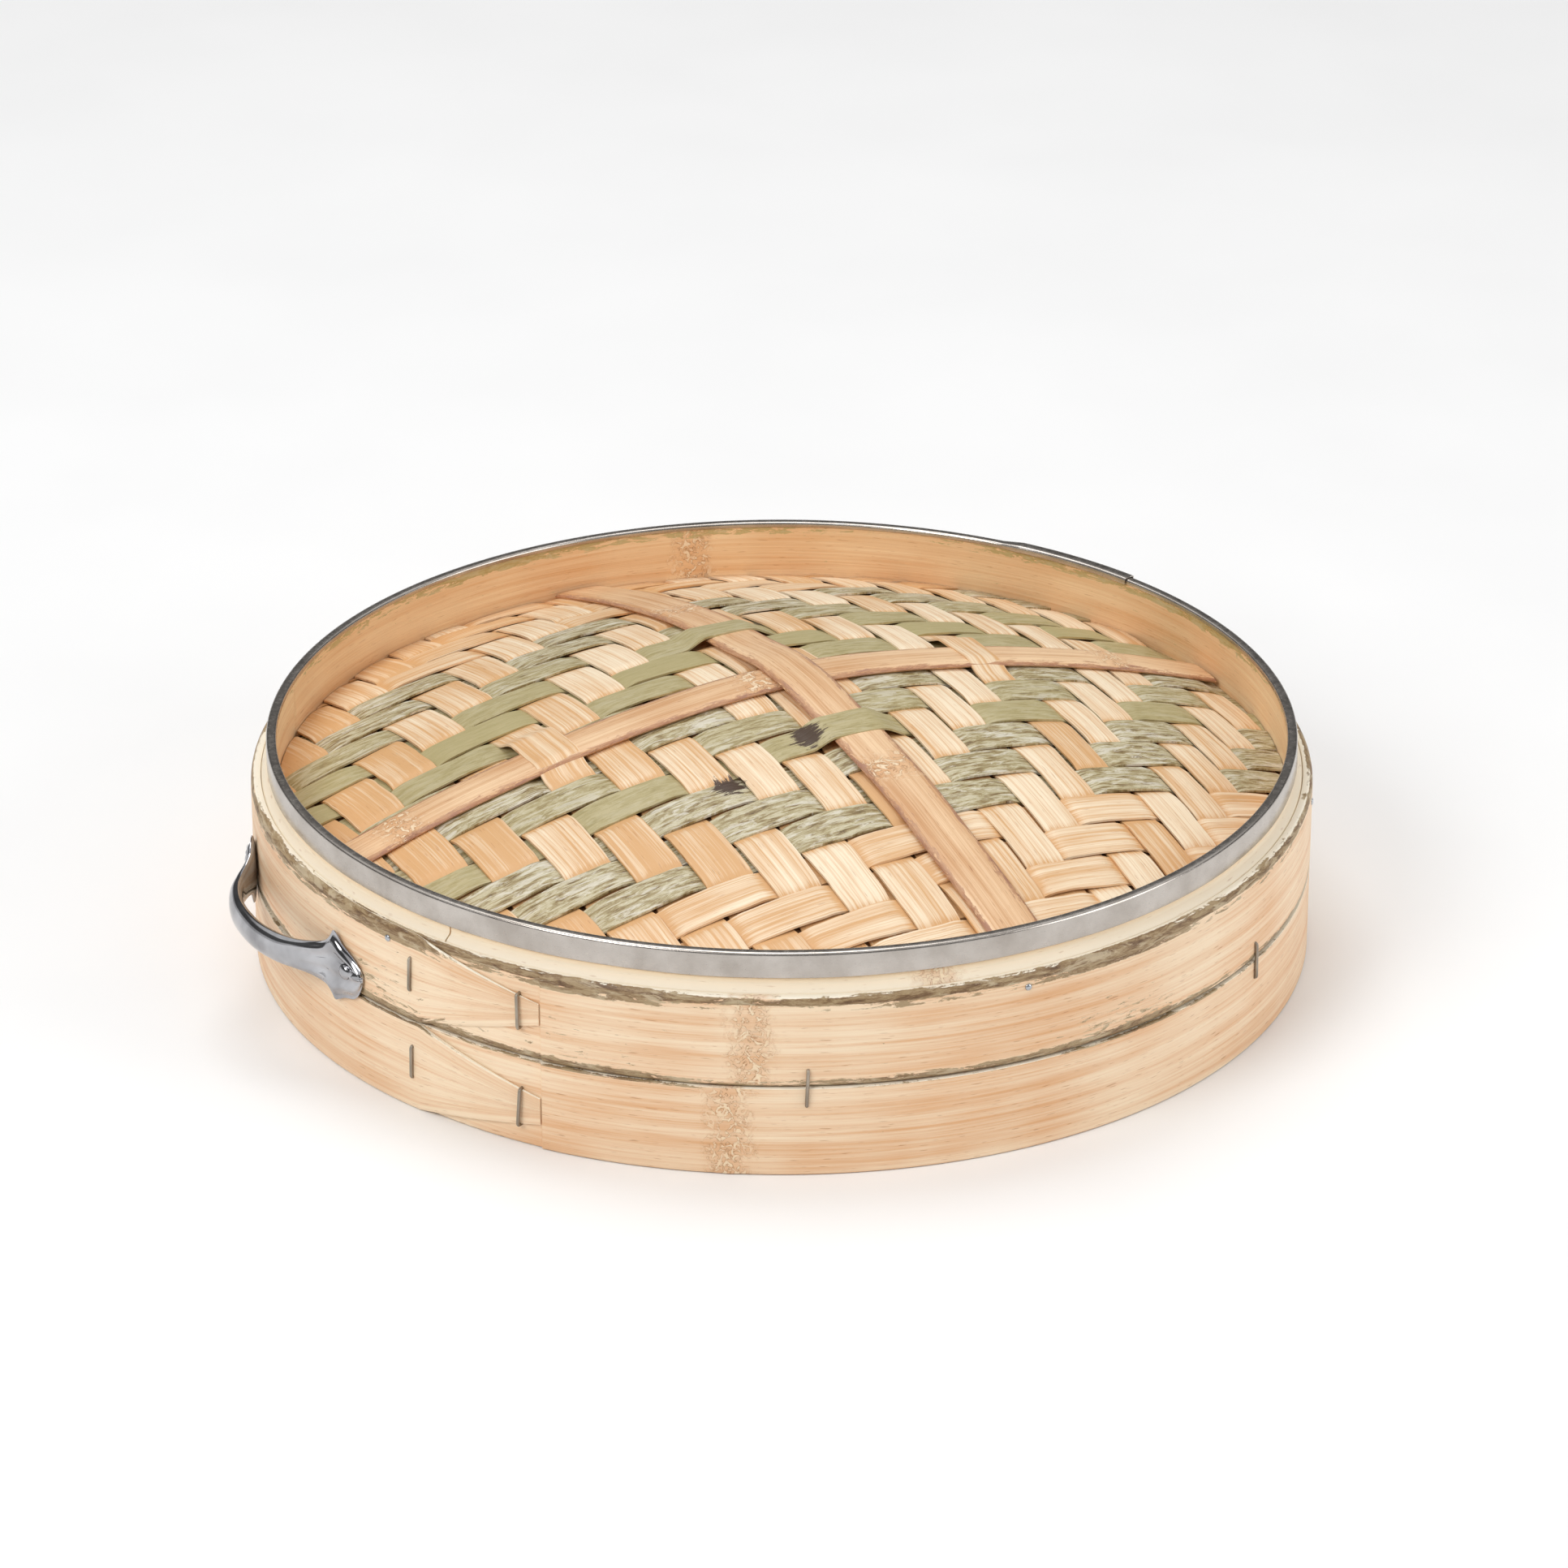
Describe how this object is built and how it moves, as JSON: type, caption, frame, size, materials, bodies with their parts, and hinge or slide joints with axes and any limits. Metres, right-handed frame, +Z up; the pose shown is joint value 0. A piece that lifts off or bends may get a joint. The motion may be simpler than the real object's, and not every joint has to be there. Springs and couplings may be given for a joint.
{
  "type": "bamboo steamer lid",
  "caption": "Round bamboo steamer lid with a domed woven top, stacked bent hoops, a steel-bound rim and one bow handle.",
  "frame": {"origin": "centre of the bounding box at the lid's bottom edge, handle included, 11.5 mm from the hoops' axis towards the handle", "axes": "+Z up through the dome, -X towards the handle"},
  "size_m": [0.5447, 0.522, 0.1366],
  "materials": {
    "hoop_bamboo": "planed bamboo strip with bark left along one edge, unvarnished",
    "inner_bamboo": "planed bamboo strip, unvarnished",
    "woven_bamboo": "split bamboo strips in twill weave, part of them with green bark",
    "lining_bamboo": "split bamboo strips, unvarnished",
    "slat_bamboo": "planed bamboo slat, smoked edges",
    "stainless_steel": "rolled sheet, satin",
    "chrome": "polished chrome plate on cast zinc",
    "staple_wire": "dull iron wire",
    "zinc_plated_steel": "zinc plated, satin"
  },
  "bodies": {
    "root": {"bow_handle": "chrome", "bridge_staple_1": "staple_wire", "bridge_staple_2": "staple_wire", "bridge_staple_3": "staple_wire", "bridge_staple_4": "staple_wire", "bridge_staple_5": "staple_wire", "cross_slat": "slat_bamboo", "dome_lining_mat": "lining_bamboo", "dome_retaining_hoop": "inner_bamboo", "handle_nut_1": "zinc_plated_steel", "handle_nut_2": "zinc_plated_steel", "handle_screw_1": "zinc_plated_steel", "handle_screw_2": "zinc_plated_steel", "handle_washer_1": "zinc_plated_steel", "handle_washer_2": "zinc_plated_steel", "hoop_nail_1": "zinc_plated_steel", "hoop_nail_2": "zinc_plated_steel", "hoop_nail_3": "zinc_plated_steel", "hoop_nail_4": "zinc_plated_steel", "hoop_nail_5": "zinc_plated_steel", "hoop_nail_6": "zinc_plated_steel", "inner_hoop": "inner_bamboo", "lap_staple_lower_1": "staple_wire", "lap_staple_lower_2": "staple_wire", "lap_staple_upper_1": "staple_wire", "lap_staple_upper_2": "staple_wire", "long_slat": "slat_bamboo", "lower_outer_hoop": "hoop_bamboo", "steel_rim_band": "stainless_steel", "upper_outer_hoop": "hoop_bamboo", "woven_dome_mat": "woven_bamboo"}
  },
  "joints": []
}
